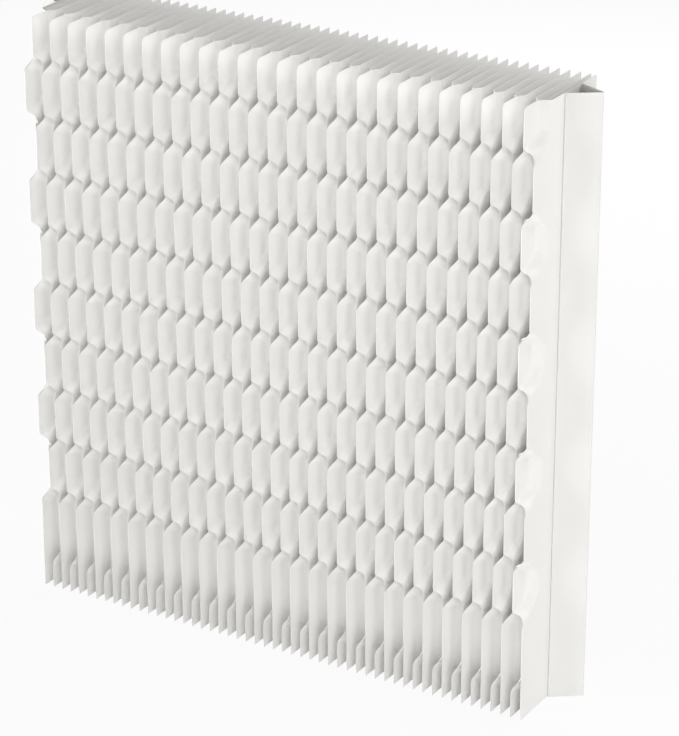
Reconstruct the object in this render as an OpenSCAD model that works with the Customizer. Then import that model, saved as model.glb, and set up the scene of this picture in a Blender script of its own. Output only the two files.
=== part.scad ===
// Pleated paper screen: a free-standing wall of upright paper leaves that opens like an accordion.
// Each leaf stands edge-on. Near the front edge it weaves from side to side, row by row, and is
// glued in turn to its left and right neighbour, which makes the honeycomb of six-sided cells.
// Behind the cells the leaves run straight to the back edge.
// Frame: X along the wall, -Y the front with the cells, +Z up, origin on the floor at the centre.
// The wall is drawn open to its full length.

/* [Wall] */
// Length between the two end panels, fully open
wall_length = 2000; // [1000:50:3000]
// Height of the leaves and the end panels
wall_height = 2200; // [1200:50:2600]
// Depth from the front edges to the back edges
wall_depth = 430; // [300:10:600]

/* [Leaves] */
// Number of paper leaves between the end panels
leaf_count = 52; // [4:2:52]
// Thickness of the paper of one leaf
leaf_paper = 0.5; // [0.3:0.1:1.2]
// Thickness of the glue between two leaves, or a leaf and an end panel
glue = 0.2; // [0.1:0.05:0.5]

/* [Cells] */
// Height of the upper row, from the top edge to the middle of its slant
top_row = 165; // [80:5:300]
// Height of each row below it
row_pitch = 206.7; // [120:0.1:400]
// Least height left below the lowest slant
foot_row_least = 100; // [80:5:200]
// Height of the slant between two rows
slant = 46; // [20:1:90]
// Depth of the glued face, from the front edge
glued_depth = 92; // [30:1:120]
// How far the glued face narrows towards its inner end, at its top and at its foot
glued_taper = 30; // [0:1:35]
// Depth of the ramp that leads from the glued face to the straight leaf
ramp_depth = 20; // [15:1:80]

/* [End panels] */
// Thickness of an end panel
panel_board = 1; // [0.5:0.1:3]
// Height from the floor of a pocket to its rim, at its inner end
pocket_edge = 11; // [2:1:40]

/* [End grips] */
// Thickness of the folded board of a grip
grip_board = 1; // [0.5:0.1:3]
// How far a grip stands out from its end panel
grip_reach = 110; // [40:5:150]
// Distance from the front edges to the grip's front fold
grip_front = 197; // [130:1:250]
// Width of the grip's base on the end panel
grip_base = 125; // [60:1:160]
// Distance from the grip's front fold back to its outer fold
grip_crown = 76; // [20:1:100]

/* [Hidden] */
pitch = wall_length / leaf_count;
front_y = -wall_depth / 2;
relief_depth = glued_depth + ramp_depth;
// Each glued pair straddles its place, with a sheet and half the glue on either side.
leaf_offset = (leaf_paper + glue) / 2;
// Distance from the middle of the last leaf's paper to the middle of the end panel glued to it.
panel_step = leaf_paper / 2 + glue + panel_board / 2;
slant_count = 2 * floor((wall_height - top_row - foot_row_least + row_pitch) / (2 * row_pitch));

LEFT = -1;
RIGHT = 1;
PAPER = [0.95, 0.945, 0.925];
BOARD = [0.94, 0.935, 0.915];
GRIP_PAPER = [0.925, 0.92, 0.9];

function leaf_name(j) = str("leaf_", j < 9 ? "0" : "", j + 1);

// Middle height of slant k, counted from the top.
function slant_z(k) = wall_height - top_row - k * row_pitch;

// Heights of the corners on an upright line of a sheet, from the top edge down to the bottom
// edge. Each slant has an upper and a lower end, which lie this far above its middle.
function levels(upper_end, lower_end) = [
    wall_height,
    for (k = [0 : slant_count - 1]) each [slant_z(k) + upper_end(k), slant_z(k) + lower_end(k)],
    0
];
front_levels = levels(function(k) slant / 2, function(k) -slant / 2);
// At the inner end of the glued faces the slants of a leaf are longer, because the faces narrow.
face_edge = slant / 2 + glued_taper;
leaf_inner_levels = levels(function(k) face_edge, function(k) -face_edge);
// A pocket lies above the even slants and below the odd ones, and its rim narrows as well.
pocket_rim = face_edge - pocket_edge;
panel_inner_levels = levels(
    function(k) k % 2 == 0 ? face_edge : -pocket_rim,
    function(k) k % 2 == 0 ? pocket_rim : -face_edge
);
level_count = 2 * slant_count + 2;
last_level = level_count - 1;

// Row in which a level line lies: even rows lean to the odd places, odd rows to the even places.
function row_of(i) = floor(i / 2);

// Place of a leaf's front edge at level i, as 0 for its left place and 1 for its right one.
// The lowest row is free of glue: there every leaf hangs straight from its left place.
function leaf_side(j, i) = row_of(i) == slant_count ? 0 : (j + row_of(i)) % 2 == 0 ? 1 : 0;

function place_x(position) = -wall_length / 2 + position * pitch;
function leaf_middle_x(j) = place_x(j + 0.5);
function leaf_front_x(j, i) =
    leaf_side(j, i) == 1 ? place_x(j + 1) - leaf_offset : place_x(j) + leaf_offset;

// An end panel is flat, apart from a pocket in each even row, where it is pressed in to the glued
// face of the last leaf.
function panel_pocket(i) = row_of(i) < slant_count && row_of(i) % 2 == 0 ? 1 : 0;
function panel_flat_x(end) = end * (wall_length / 2 - leaf_offset + panel_step);
function panel_front_x(end, i) =
    panel_flat_x(end) - end * panel_pocket(i) * (pitch - 2 * leaf_offset);

// A standing sheet. front_x lists the x of its front edge at each level, and rear_x is the x of
// its straight rear part. It has four upright lines: the front edge, the inner end of the glued
// faces, the end of the ramp and the back edge. The back edge has only its two ends.
module sheet(front_x, rear_x, inner_levels, thickness) {
    n = level_count;
    skin_size = 3 * n + 2;
    function upright(side, y, x_of, z_of) =
        [for (i = [0 : n - 1]) [x_of[i] + side * thickness / 2, y, z_of[i]]];
    rear_line = [for (i = [0 : n - 1]) rear_x];
    function skin(side) = concat(
        upright(side, front_y, front_x, front_levels),
        upright(side, front_y + glued_depth, front_x, inner_levels),
        upright(side, front_y + relief_depth, rear_line, inner_levels),
        [[rear_x + side * thickness / 2, -front_y, wall_height],
         [rear_x + side * thickness / 2, -front_y, 0]]
    );
    back_top = 3 * n;
    back_foot = 3 * n + 1;
    // Triangles of the skin that faces -X.
    skin_faces = concat(
        [for (line = [0, 1], i = [0 : n - 2]) each
            let (a = line * n + i, b = a + 1, c = a + n, d = c + 1) [[a, d, c], [a, b, d]]],
        [for (i = [0 : n - 2]) [2 * n + i, 2 * n + i + 1, back_top]],
        [[3 * n - 1, back_foot, back_top]]
    );
    // Outline of the skin: down the front edge, back along the foot, up the back and forward.
    rim = concat(
        [for (i = [0 : n - 1]) i],
        [2 * n - 1, 3 * n - 1, back_foot, back_top, 2 * n, n]
    );
    function flipped(face) = [face[2], face[1], face[0]];
    function shifted(face) = [for (corner = face) corner + skin_size];
    rim_faces = [for (i = [0 : len(rim) - 1]) each
        let (a = rim[i], b = rim[(i + 1) % len(rim)])
            [[a, a + skin_size, b + skin_size], [a, b + skin_size, b]]];
    polyhedron(
        points = concat(skin(LEFT), skin(RIGHT)),
        faces = concat(
            skin_faces,
            [for (face = skin_faces) shifted(flipped(face))],
            rim_faces
        )
    );
}

module leaf(j) {
    color(PAPER)
        sheet(
            [for (i = [0 : last_level]) leaf_front_x(j, i)],
            leaf_middle_x(j),
            leaf_inner_levels,
            leaf_paper
        );
}

module end_panel(end) {
    color(BOARD)
        sheet(
            [for (i = [0 : last_level]) panel_front_x(end, i)],
            panel_flat_x(end),
            panel_inner_levels,
            panel_board
        );
}

// Corners of a closed outline moved inwards by d. The outline runs anticlockwise.
function unit(v) = v / norm(v);
function inward(a, b) = let (along = unit(b - a)) [-along[1], along[0]];
function inset(outline, d) = [
    for (i = [0 : len(outline) - 1])
        let (
            before = outline[(i + len(outline) - 1) % len(outline)],
            here = outline[i],
            after = outline[(i + 1) % len(outline)],
            n1 = inward(before, here),
            n2 = inward(here, after)
        ) here + d * (n1 + n2) / (1 + n1 * n2)
];

// Three-sided tube folded from one strip, glued by its base to the outer face of an end panel.
module end_grip(end) {
    seat_x = panel_flat_x(RIGHT) + panel_board / 2;
    outline = [
        [seat_x, front_y + grip_front],
        [seat_x + grip_reach, front_y + grip_front + grip_crown],
        [seat_x, front_y + grip_front + grip_base]
    ];
    color(GRIP_PAPER)
        mirror([end == LEFT ? 1 : 0, 0, 0])
            linear_extrude(wall_height)
                difference() {
                    polygon(outline);
                    polygon(inset(outline, grip_board));
                }
}

end_panel(LEFT);  // left_end_panel
end_grip(LEFT);  // left_end_grip
for (j = [0 : leaf_count - 1])
    leaf(j);
end_panel(RIGHT);  // right_end_panel
end_grip(RIGHT);  // right_end_grip
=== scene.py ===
"""Pleated paper screen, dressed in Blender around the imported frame.

Every leaf, end panel and grip of the frame is replaced by a finer sheet of paper in the same place:
rounded cells, real thickness, a little waviness, and a fibrous matte paper surface.
Lengths are in metres, in the frame's own axes: X along the wall, -Y the front, +Z up.
"""
import math

import bpy
import numpy as np
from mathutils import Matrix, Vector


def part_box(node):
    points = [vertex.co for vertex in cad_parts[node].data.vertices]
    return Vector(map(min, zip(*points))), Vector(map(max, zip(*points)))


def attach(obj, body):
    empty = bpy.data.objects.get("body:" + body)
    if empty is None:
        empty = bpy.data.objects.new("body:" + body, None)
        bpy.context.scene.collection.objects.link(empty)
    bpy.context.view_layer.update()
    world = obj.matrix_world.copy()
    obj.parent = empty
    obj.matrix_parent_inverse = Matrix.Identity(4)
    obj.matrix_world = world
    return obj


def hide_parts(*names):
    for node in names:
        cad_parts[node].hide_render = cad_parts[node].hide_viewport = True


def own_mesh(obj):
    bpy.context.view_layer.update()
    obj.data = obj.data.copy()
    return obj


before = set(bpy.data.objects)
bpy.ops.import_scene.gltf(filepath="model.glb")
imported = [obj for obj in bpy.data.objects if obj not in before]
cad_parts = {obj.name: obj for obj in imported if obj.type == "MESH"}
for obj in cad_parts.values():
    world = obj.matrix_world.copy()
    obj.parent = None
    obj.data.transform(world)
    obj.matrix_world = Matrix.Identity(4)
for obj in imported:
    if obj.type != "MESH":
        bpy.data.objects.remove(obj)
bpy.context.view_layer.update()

# ---------------------------------------------------------------- sizes of the object

LEAVES = sorted(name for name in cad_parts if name.startswith("leaf_"))
LEAF_COUNT = len(LEAVES)
LEFT, RIGHT = -1, 1

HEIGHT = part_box("leaf_01")[1][2]
FRONT_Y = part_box("leaf_01")[0][1]
BACK_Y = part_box("leaf_01")[1][1]
DEPTH = BACK_Y - FRONT_Y
LEAF_PAPER = 0.0005
PANEL_BOARD = 0.001
GRIP_BOARD = 0.001
GLUE = 0.0002
PANEL_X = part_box("right_end_panel")[1][0] - PANEL_BOARD / 2
# Distance from a place to the middle of a leaf that is glued there, and from the middle of the
# last leaf to the middle of the end panel.
LEAF_OFFSET = (LEAF_PAPER + GLUE) / 2
PANEL_STEP = LEAF_PAPER / 2 + GLUE + PANEL_BOARD / 2
WALL_LENGTH = 2 * (PANEL_X + LEAF_OFFSET - PANEL_STEP)
PITCH = WALL_LENGTH / LEAF_COUNT

# Heights of the top row, of the rows below it and of the foot row, which isn't glued. They are
# measured to the middles of the slants between the rows.
TOP_ROW = 0.165
ROW_PITCH = 0.2067
FOOT_ROW = 0.132
# Height of a slant.
SLANT = 0.046
# The glued rows count from 0 at the top, and the foot row comes after them.
ROWS = 10
FOOT = ROWS

# The glued faces, and the ramp behind them that leads to the straight part of a sheet.
GLUED_DEPTH = 0.092
RAMP_DEPTH = 0.020
RELIEF_DEPTH = GLUED_DEPTH + RAMP_DEPTH
# How far a glued face narrows towards its inner end, at its top and at its foot.
FACE_TAPER = 0.030
# Height of the fold at the top and the foot of a glued face, at its inner end.
INNER_FOLD = 0.011
# Radius of the inner corners of a cell.
CORNER_RADIUS = 0.034
# Softness of the folds: in the middle of a slant, at the top of a glued face, and at its foot.
MIDDLE_FOLD = 0.003
TOP_FOLD = 0.0065
FOOT_FOLD = 0.0025

# How far the front edge draws back in the middle of a slant, and how far beyond the slant's ends
# it starts to.
SLANT_RECESS = 0.026
RECESS_REACH = 0.010
# Radius of a sheet's upper front corner, and the height below it in which the rounding fades out.
TOP_CORNER = 0.014
CORNER_FADE = 4 * TOP_CORNER

# ---------------------------------------------------------------- small irregularities

# How far the glued front edges wander and how far the rear part of a leaf bows, either way.
FRONT_WOBBLE = 0.0006
REAR_BOW = 0.0022
# The bow is a sine over the rear part. At the back edge, which stands off too, it has this angle.
REAR_BOW_ANGLE = math.pi * 0.75
# First seeds of the waves of the front edges, the rear parts and the grips.
FRONT_SEED, REAR_SEED, GRIP_SEED = 100, 300, 700
# Each wave adds up this many sines, of unlike size, and of this many turns over the height.
WAVE_SINES = 4
WAVE_SIZES = (0.3, 1.0)
WAVE_TURNS = (0.8, 4.5)


def wave(seed, z):
    """A slow wave along the height, within -1 and 1, that is the same for the same seed."""
    rng = np.random.default_rng(seed)
    size = rng.uniform(*WAVE_SIZES, WAVE_SINES)
    turns_over_height = rng.uniform(*WAVE_TURNS, WAVE_SINES)
    phase = rng.uniform(0, math.tau, WAVE_SINES)
    turns = np.multiply.outer(z / HEIGHT, turns_over_height) * math.tau + phase
    return (np.sin(turns) * size / size.sum()).sum(axis=-1)


# ---------------------------------------------------------------- the shape of the relief


def bend_in(value, softness):
    """0 well below 0 and the value itself well above 0, with a soft bend between them."""
    return softness * np.logaddexp(0, value / softness)


def soft_step(value, first_softness, last_softness):
    """0 below 0, 1 above 1 and straight between them, with a soft bend at either end."""
    return bend_in(value, first_softness) - bend_in(value - 1, last_softness)


def slant_middle(number):
    """Height of the middle of the slant below a glued row. The last one ends the glue."""
    return FOOT_ROW if number == ROWS - 1 else HEIGHT - TOP_ROW - number * ROW_PITCH


def row_bounds(row):
    """Heights of the middles of the slants above and below a row. The end rows are open."""
    above = slant_middle(row - 1) if row > 0 else HEIGHT + ROW_PITCH
    below = slant_middle(row) if row < FOOT else -ROW_PITCH
    return above, below


def face_relief(above, below, rim_out, depth, z):
    """How far a sheet has gone over to its place in a row: 0 outside the row, 1 on the glued face.

    At the front edge the fold to the glued face starts rim_out outside the middle of each slant.
    """
    share = np.clip(depth / GLUED_DEPTH, 0, 1)
    face_edge = SLANT / 2 + FACE_TAPER * share
    rim = (1 - share) * -rim_out + share * (SLANT / 2 + FACE_TAPER - INNER_FOLD)
    to_slant = np.minimum(above - z, z - below) - rim
    to_ramp = RELIEF_DEPTH - depth
    # Distance inside the rim, with round inner corners.
    short_slant = np.maximum(CORNER_RADIUS - to_slant, 0)
    short_ramp = np.maximum(CORNER_RADIUS - to_ramp, 0)
    in_corner = (short_slant > 0) & (short_ramp > 0)
    to_arc = CORNER_RADIUS - np.hypot(short_slant, short_ramp)
    inside = np.where(in_corner, to_arc, np.minimum(to_slant, to_ramp))
    lean = short_slant / np.maximum(short_slant + short_ramp, 1e-9)
    fold_width = lean * (face_edge - rim) + (1 - lean) * RAMP_DEPTH
    outer_fold = np.where(above - z < z - below, TOP_FOLD, FOOT_FOLD)
    return soft_step(inside / fold_width, MIDDLE_FOLD / fold_width, outer_fold / fold_width)


def place_x(position):
    return -WALL_LENGTH / 2 + position * PITCH


def front_wobble(position, z):
    """Both sheets that are glued together at a place wander together. The outer places are true."""
    if position in (0, LEAF_COUNT):
        return np.zeros_like(z)
    return FRONT_WOBBLE * wave(FRONT_SEED + position, z)


# ---------------------------------------------------------------- meshes

# Points over the depth: on the top corner, the glued face, the ramp and the rear part.
CORNER_POINTS, FACE_POINTS, RAMP_POINTS, REAR_POINTS = 5, 7, 13, 8
# How far behind the ramp its close points end.
RAMP_MARGIN = 0.010
# Level lines at each slant, and the heights of those in the foot row.
SLANT_LINES = 25
FOOT_LINES = (0.03, 0.06, 0.09)


def depth_lines():
    """Distances from the front edge at which a sheet has an upright line of points."""
    ramp_start = GLUED_DEPTH - CORNER_RADIUS / 2
    ramp_end = RELIEF_DEPTH + RAMP_MARGIN
    corner = TOP_CORNER * (1 - np.cos(np.linspace(0, math.pi / 2, CORNER_POINTS)))
    face = np.linspace(TOP_CORNER, ramp_start, FACE_POINTS)[1:]
    ramp = np.linspace(ramp_start, ramp_end, RAMP_POINTS)[1:]
    rear = np.linspace(ramp_end, DEPTH, REAR_POINTS)[1:]
    return np.concatenate([corner, face, ramp, rear])


def height_lines():
    """Heights at which a sheet has a level line of points, close together at the slants."""
    reach = SLANT / 2 + FACE_TAPER + CORNER_RADIUS / 2
    lines = [0.0, HEIGHT, *FOOT_LINES]
    for slant in map(slant_middle, range(ROWS)):
        lines += list(slant + np.linspace(-reach, reach, SLANT_LINES))
        lines.append(slant + ROW_PITCH / 2)
    return np.array(sorted(z for z in set(np.round(lines, 5)) if 0 <= z <= HEIGHT))


DEPTHS = depth_lines()
HEIGHTS = height_lines()
DEPTH_GRID, HEIGHT_GRID = np.meshgrid(DEPTHS, HEIGHTS)


def edge_recess(depth, z):
    """How far a sheet draws back at its front edge, where it slants between two glued rows."""
    recess = np.zeros_like(z)
    for row in range(ROWS - 1):
        off = (z - slant_middle(row)) / (SLANT / 2 + RECESS_REACH)
        recess += SLANT_RECESS * np.cos(np.clip(off, -1, 1) * math.pi / 2) ** 2
    return recess * (1 - np.clip(depth / GLUED_DEPTH, 0, 1))


def corner_drop(depth, z):
    """How far the rounded front corner lies below a sharp one, fading out below the top edge."""
    short = np.maximum(TOP_CORNER - depth, 0)
    drop = TOP_CORNER - np.sqrt(TOP_CORNER**2 - short**2)
    return drop * np.clip(1 - (HEIGHT - z) / CORNER_FADE, 0, 1)


SHEET_Y = FRONT_Y + DEPTH_GRID + edge_recess(DEPTH_GRID, HEIGHT_GRID)
SHEET_Z = HEIGHT_GRID - corner_drop(DEPTH_GRID, HEIGHT_GRID)


def add_piece(name, points, faces, smooth_count):
    """A mesh object whose first faces are smooth and whose other faces are flat."""
    mesh = bpy.data.meshes.new(name)
    mesh.from_pydata(points.tolist(), [], faces.tolist())
    smooth = np.arange(len(mesh.polygons)) < smooth_count
    mesh.polygons.foreach_set("use_smooth", smooth)
    piece = bpy.data.objects.new(name, mesh)
    bpy.context.scene.collection.objects.link(piece)
    return piece


def sheet_piece(name, middle, thickness):
    """A closed sheet of paper from the x of its middle surface on the grid of depths and heights."""
    rows, columns = middle.shape
    skins = [
        np.stack([middle + side * thickness / 2, SHEET_Y, SHEET_Z], axis=-1).reshape(-1, 3)
        for side in (LEFT, RIGHT)
    ]
    count = rows * columns
    index = np.arange(count).reshape(rows, columns)
    a, b = index[:-1, :-1].ravel(), index[:-1, 1:].ravel()
    c, d = index[1:, 1:].ravel(), index[1:, :-1].ravel()
    left_faces = np.stack([a, d, c, b], axis=1)
    right_faces = np.stack([a, b, c, d], axis=1) + count
    outline = np.concatenate(
        [index[0, :], index[1:, -1], index[-1, -2::-1], index[-2:0:-1, 0]]
    )
    following = np.roll(outline, -1)
    rim = np.stack([outline, following, following + count, outline + count], axis=1)
    faces = np.concatenate([left_faces, right_faces, rim])
    piece = add_piece(name, np.concatenate(skins), faces, 2 * len(left_faces))
    rim_edges = {tuple(sorted(pair)) for pair in zip(outline.tolist(), following.tolist())}
    rim_edges |= {(i + count, j + count) for i, j in rim_edges}
    for edge in piece.data.edges:
        if tuple(sorted(edge.vertices)) in rim_edges:
            edge.use_edge_sharp = True
    return piece


def leaf_surface(number):
    """x of the middle of a leaf's paper. It leans to its left or right place, row by row."""
    middle = place_x(number + 0.5)
    to_left = place_x(number) + LEAF_OFFSET + front_wobble(number, HEIGHT_GRID)
    to_right = place_x(number + 1) - LEAF_OFFSET + front_wobble(number + 1, HEIGHT_GRID)
    rear = np.clip((DEPTH_GRID - RELIEF_DEPTH) / (DEPTH - RELIEF_DEPTH), 0, 1)
    x = middle + REAR_BOW * wave(REAR_SEED + number, HEIGHT_GRID) * np.sin(rear * REAR_BOW_ANGLE)
    # A leaf that is in its left place in the last glued row stays there down to the floor.
    left_to_floor = (number + FOOT - 1) % 2 == 1
    for row in range(FOOT if left_to_floor else FOOT + 1):
        above, below = row_bounds(row)
        if left_to_floor and row == FOOT - 1:
            below = row_bounds(FOOT)[1]
        goes_right = (number + row) % 2 == 0 and row < FOOT
        target = to_right if goes_right else to_left
        x = x + (target - middle) * face_relief(above, below, 0, DEPTH_GRID, HEIGHT_GRID)
    return x


def panel_surface(end):
    """x of the middle of an end panel, with its pockets pressed in to the last leaf."""
    position = LEAF_COUNT - 1 if end == RIGHT else 1
    step = LEAF_OFFSET + PANEL_STEP
    pressed_in = place_x(position) + end * step + front_wobble(position, HEIGHT_GRID)
    x = np.full_like(DEPTH_GRID, end * PANEL_X)
    # The last leaf stands off the panel in every other row, from the top one on.
    for row in range(0, ROWS, 2):
        above, below = row_bounds(row)
        relief = face_relief(above, below, SLANT / 2, DEPTH_GRID, HEIGHT_GRID)
        x = x + (pressed_in - end * PANEL_X) * relief
    return x


# ---------------------------------------------------------------- the folded end grips

GRIP_LOW, GRIP_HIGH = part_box("right_end_grip")
# Distance from the grip's front fold back to its outer fold.
GRIP_CROWN = 0.076
GRIP_FOLD_RADIUS = 0.005
# How far the two free sides belly in at most.
GRIP_SWELL = 0.0012
# Level lines of points over the height, and points on each fold and between two folds.
GRIP_LEVELS = 28
POINTS_PER_FOLD = 7
POINTS_PER_SIDE = 9
# The grip's edges at its top and foot are sharper than this, and its folds are softer.
SHARPEST_FOLD = math.radians(50)


def cut_length(before, here, after, radius):
    """How far a corner's rounding reaches along its sides."""
    along_in = (here - before) / np.linalg.norm(here - before)
    along_out = (after - here) / np.linalg.norm(after - here)
    turn = math.acos(np.clip(along_in @ along_out, -1, 1))
    return radius * math.tan(turn / 2)


def rounded_outline(corners, radius):
    """An anticlockwise outline with its corners rounded, as points and their outward normals."""
    points, normals = [], []
    count = len(corners)
    for i, here in enumerate(corners):
        before, after, beyond = corners[i - 1], corners[(i + 1) % count], corners[(i + 2) % count]
        along_in = (here - before) / np.linalg.norm(here - before)
        along_out = (after - here) / np.linalg.norm(after - here)
        cut = cut_length(before, here, after, radius)
        out_in = np.array([along_in[1], -along_in[0]])
        centre = here - cut * along_in - radius * out_in
        start = math.atan2(out_in[1], out_in[0])
        for angle in start + np.linspace(0, 2 * math.atan(cut / radius), POINTS_PER_FOLD):
            direction = np.array([math.cos(angle), math.sin(angle)])
            points.append(centre + radius * direction)
            normals.append(direction)
        leave = here + cut * along_out
        arrive = after - cut_length(here, after, beyond, radius) * along_out
        for share in np.linspace(0, 1, POINTS_PER_SIDE + 2)[1:-1]:
            points.append(leave + (arrive - leave) * share)
            normals.append(np.array([along_out[1], -along_out[0]]))
    return np.array(points), np.array(normals)


def grip_piece(name, end):
    """A strip folded into a three-sided tube, open at its top and its foot."""
    seat, crown = GRIP_LOW[0], GRIP_HIGH[0]
    corners = [
        np.array([seat, GRIP_LOW[1]]),
        np.array([crown, GRIP_LOW[1] + GRIP_CROWN]),
        np.array([seat, GRIP_HIGH[1]]),
    ]
    outer, normals = rounded_outline(corners, GRIP_FOLD_RADIUS)
    inner = outer - normals * GRIP_BOARD
    heights = np.linspace(0, HEIGHT, GRIP_LEVELS)
    ring = len(outer)
    # The two free sides belly in a little between their folds.
    slack = np.sin(np.clip((outer[:, 0] - seat) / (crown - seat), 0, 1) * math.pi)
    swell = -GRIP_SWELL * np.abs(wave(GRIP_SEED + end, heights))
    points = []
    for outline in (outer, inner):
        for z, depth in zip(heights, swell):
            moved = outline + normals * (slack * depth)[:, None]
            points.append(np.stack([end * moved[:, 0], moved[:, 1], np.full(ring, z)], axis=-1))
    index = np.arange(GRIP_LEVELS * ring).reshape(GRIP_LEVELS, ring)
    after = np.roll(index, -1, axis=1)
    walls = np.stack([index[:-1], after[:-1], after[1:], index[1:]], axis=-1).reshape(-1, 4)
    foot = np.stack([index[0] + index.size, after[0] + index.size, after[0], index[0]], axis=-1)
    top = np.stack([index[-1], after[-1], after[-1] + index.size, index[-1] + index.size], axis=-1)
    faces = np.concatenate([walls, walls[:, ::-1] + index.size, foot, top])
    if end == LEFT:
        faces = faces[:, ::-1]
    piece = add_piece(name, np.concatenate(points), faces, 2 * len(walls))
    piece.data.set_sharp_from_angle(angle=SHARPEST_FOLD)
    return piece


# ---------------------------------------------------------------- paper

PAPER_SURFACE = {
    "Roughness": 0.9,
    "Specular IOR Level": 0.25,
    "Sheen Weight": 0.06,
    "Sheen Roughness": 0.5,
}
# Height of the fibres that are pressed in the surface, and how much their noise is drawn out.
FIBRE_HEIGHT = 0.0006
FIBRE_STRETCH = (1.0, 1.0, 0.35)


def node(tree, kind, **inputs):
    """A new node with some of its inputs set. An underscore stands for a space in their names."""
    made = tree.nodes.new(kind)
    for key, value in inputs.items():
        made.inputs[key.replace("_", " ")].default_value = value
    return made


def paper(name, light, shade, fibre_size, bump):
    """Matte uncoated paper: cloudy tone, fine fibres pressed in the surface, a few darker flecks."""
    material = bpy.data.materials.new(name)
    material.use_nodes = True
    tree = material.node_tree
    links = tree.links
    shader = tree.nodes["Principled BSDF"]
    for socket, value in PAPER_SURFACE.items():
        shader.inputs[socket].default_value = value
    place = tree.nodes.new("ShaderNodeTexCoord")

    cloud = node(tree, "ShaderNodeTexNoise", Scale=9.0, Detail=3.0, Roughness=0.6)
    fleck = node(tree, "ShaderNodeTexNoise", Scale=1.0 / fibre_size, Detail=4.0, Roughness=0.7)
    links.new(place.outputs["Object"], cloud.inputs["Vector"])
    stretched = node(tree, "ShaderNodeMapping", Scale=FIBRE_STRETCH)
    links.new(place.outputs["Object"], stretched.inputs["Vector"])
    links.new(stretched.outputs["Vector"], fleck.inputs["Vector"])

    ramp = tree.nodes.new("ShaderNodeValToRGB")
    for element, position, tone in zip(ramp.color_ramp.elements, (0.3, 0.7), (shade, light)):
        element.position = position
        element.color = (*tone, 1)
    links.new(cloud.outputs["Fac"], ramp.inputs["Fac"])

    fleck_range = node(
        tree, "ShaderNodeMapRange", From_Min=0.35, From_Max=0.65, To_Min=0.975, To_Max=1.0
    )
    links.new(fleck.outputs["Fac"], fleck_range.inputs["Value"])
    tint = tree.nodes.new("ShaderNodeVectorMath")
    tint.operation = "SCALE"
    links.new(ramp.outputs["Color"], tint.inputs[0])
    links.new(fleck_range.outputs["Result"], tint.inputs["Scale"])
    links.new(tint.outputs["Vector"], shader.inputs["Base Color"])

    relief = node(tree, "ShaderNodeBump", Strength=bump, Distance=FIBRE_HEIGHT)
    links.new(fleck.outputs["Fac"], relief.inputs["Height"])
    links.new(relief.outputs["Normal"], shader.inputs["Normal"])
    return material


# Thin white paper, painted lighter than the end panels' paper: painted light that lifts the shaded
# insides of the cells.
LEAF_TONE_PAINTED_LIGHT = paper(
    "thin_paper_painted_light", (0.975, 0.970, 0.955), (0.965, 0.960, 0.945), 0.0016, 0.25
)
PANEL_LOOK = paper(
    "stiff_white_paper", (0.930, 0.923, 0.903), (0.920, 0.913, 0.893), 0.0020, 0.30
)
# Folded white paper, painted darker than the end panels' paper: painted shade that holds down the
# grips' brightly lit front faces.
GRIP_TONE_PAINTED_SHADE = paper(
    "folded_paper_painted_shade", (0.875, 0.868, 0.850), (0.865, 0.858, 0.840), 0.0020, 0.30
)


# ---------------------------------------------------------------- the screen


def stand_in(piece, cad_node, body, look):
    """The piece takes the place of a node of the frame, on its body and in its material slot."""
    piece.data.materials.append(look)
    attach(piece, body)
    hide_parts(cad_node)


def flatten(piece):
    """Gives the sheet a mesh of its own."""
    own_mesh(piece)


for number, leaf in enumerate(LEAVES):
    sheet = sheet_piece("paper_" + leaf, leaf_surface(number), LEAF_PAPER)
    stand_in(sheet, leaf, leaf, LEAF_TONE_PAINTED_LIGHT)
    flatten(sheet)

for end, word in ((LEFT, "left"), (RIGHT, "right")):
    panel = sheet_piece(f"paper_{word}_end_panel", panel_surface(end), PANEL_BOARD)
    stand_in(panel, f"{word}_end_panel", f"{word}_end", PANEL_LOOK)
    flatten(panel)
    grip = grip_piece(f"folded_{word}_end_grip", end)
    stand_in(grip, f"{word}_end_grip", f"{word}_end", GRIP_TONE_PAINTED_SHADE)


# ---------------------------------------------------------------- floor, light and camera

FLOOR_HALF_SIZE = 40.0
FLOOR_COLOR = (0.93, 0.93, 0.93, 1)
# Share of plain white in what the camera sees of the floor. The rest is lit and keeps the shadow.
FLOOR_WHITE = 0.9
WORLD_COLOR = (1.0, 0.995, 0.985, 1)
WORLD_STRENGTH = 0.35
# Name, azimuth, elevation, width and height, and power of each soft light.
LIGHTS = (
    ("right_key", 41, 4, (6.0, 3.0), 222),
    ("left_fill", 335, 4, (5.0, 3.5), 390),
    ("high_side_light", 115, 40, (4.0, 4.0), 155),
    ("back_fill", 192, 22, (5.0, 4.0), 230),
)
LIGHT_DISTANCE = 8.0

CAMERA_AZIMUTH = 31.0
CAMERA_ELEVATION = 23.0
CAMERA_DISTANCE = 11.0
CAMERA_TARGET = (0.150, 0, 1.05)
CAMERA_REACH = 100
FOCAL_PIXELS = 3160.0
IMAGE_HEIGHT_PIXELS = 736
SENSOR_MM = 36.0


def show_white(tree, lit_shader, share):
    """Shows white to the camera and in reflections, and keeps a share of the lit surface."""
    links = tree.links
    path = tree.nodes.new("ShaderNodeLightPath")
    seen = path.outputs["Is Camera Ray"]
    for kind in ("Is Glossy Ray", "Is Transmission Ray"):
        either = tree.nodes.new("ShaderNodeMath")
        either.operation = "MAXIMUM"
        links.new(seen, either.inputs[0])
        links.new(path.outputs[kind], either.inputs[1])
        seen = either.outputs["Value"]
    amount = tree.nodes.new("ShaderNodeMath")
    amount.operation = "MULTIPLY"
    amount.inputs[1].default_value = share
    links.new(seen, amount.inputs[0])
    white = node(tree, "ShaderNodeEmission", Color=(1, 1, 1, 1), Strength=1.0)
    mix = tree.nodes.new("ShaderNodeMixShader")
    links.new(amount.outputs["Value"], mix.inputs[0])
    links.new(lit_shader, mix.inputs[1])
    links.new(white.outputs["Emission"], mix.inputs[2])
    return mix.outputs["Shader"]


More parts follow.
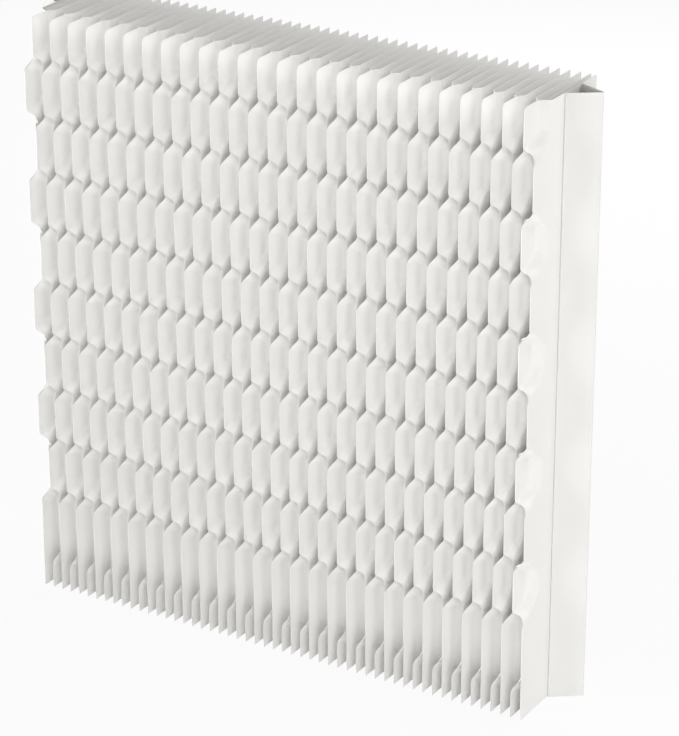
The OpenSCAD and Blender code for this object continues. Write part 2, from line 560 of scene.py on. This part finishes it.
def aim(thing, azimuth, elevation, distance, target):
    """Stands off from the target at an azimuth (0 is the front, 90 the right end) and looks at it."""
    a, e = math.radians(azimuth), math.radians(elevation)
    away = np.array([math.sin(a) * math.cos(e), -math.cos(a) * math.cos(e), math.sin(e)])
    thing.location = np.array(target) + away * distance
    thing.rotation_euler = (math.pi / 2 - e, 0, a)


def make_floor():
    half = FLOOR_HALF_SIZE
    mesh = bpy.data.meshes.new("floor")
    corners = [(-half, -half, 0), (half, -half, 0), (half, half, 0), (-half, half, 0)]
    mesh.from_pydata(corners, [], [(0, 1, 2, 3)])
    floor = bpy.data.objects.new("floor", mesh)
    bpy.context.scene.collection.objects.link(floor)
    material = bpy.data.materials.new("floor_white")
    material.use_nodes = True
    tree = material.node_tree
    diffuse = node(tree, "ShaderNodeBsdfDiffuse", Color=FLOOR_COLOR)
    shown = show_white(tree, diffuse.outputs["BSDF"], FLOOR_WHITE)
    tree.links.new(shown, tree.nodes["Material Output"].inputs["Surface"])
    mesh.materials.append(material)


def make_world():
    world = bpy.data.worlds.new("studio")
    bpy.context.scene.world = world
    world.use_nodes = True
    tree = world.node_tree
    lit = tree.nodes["Background"]
    lit.inputs["Color"].default_value = WORLD_COLOR
    lit.inputs["Strength"].default_value = WORLD_STRENGTH
    shown = show_white(tree, lit.outputs["Background"], 1.0)
    tree.links.new(shown, tree.nodes["World Output"].inputs["Surface"])


def area_light(name, azimuth, elevation, size, power):
    """A soft light, as wide and as high as its size, that looks at the middle of the wall."""
    data = bpy.data.lights.new(name, "AREA")
    data.shape = "RECTANGLE"
    data.size, data.size_y = size
    data.energy = power
    lamp = bpy.data.objects.new(name, data)
    bpy.context.scene.collection.objects.link(lamp)
    aim(lamp, azimuth, elevation, LIGHT_DISTANCE, (0, 0, HEIGHT / 2))


def make_camera():
    data = bpy.data.cameras.new("camera")
    data.sensor_width = SENSOR_MM
    data.lens = FOCAL_PIXELS * SENSOR_MM / IMAGE_HEIGHT_PIXELS
    data.clip_end = CAMERA_REACH
    camera = bpy.data.objects.new("camera", data)
    bpy.context.scene.collection.objects.link(camera)
    aim(camera, CAMERA_AZIMUTH, CAMERA_ELEVATION, CAMERA_DISTANCE, CAMERA_TARGET)
    bpy.context.scene.camera = camera


make_floor()
make_world()
for light in LIGHTS:
    area_light(*light)
make_camera()

bpy.context.scene.view_settings.view_transform = "Standard"
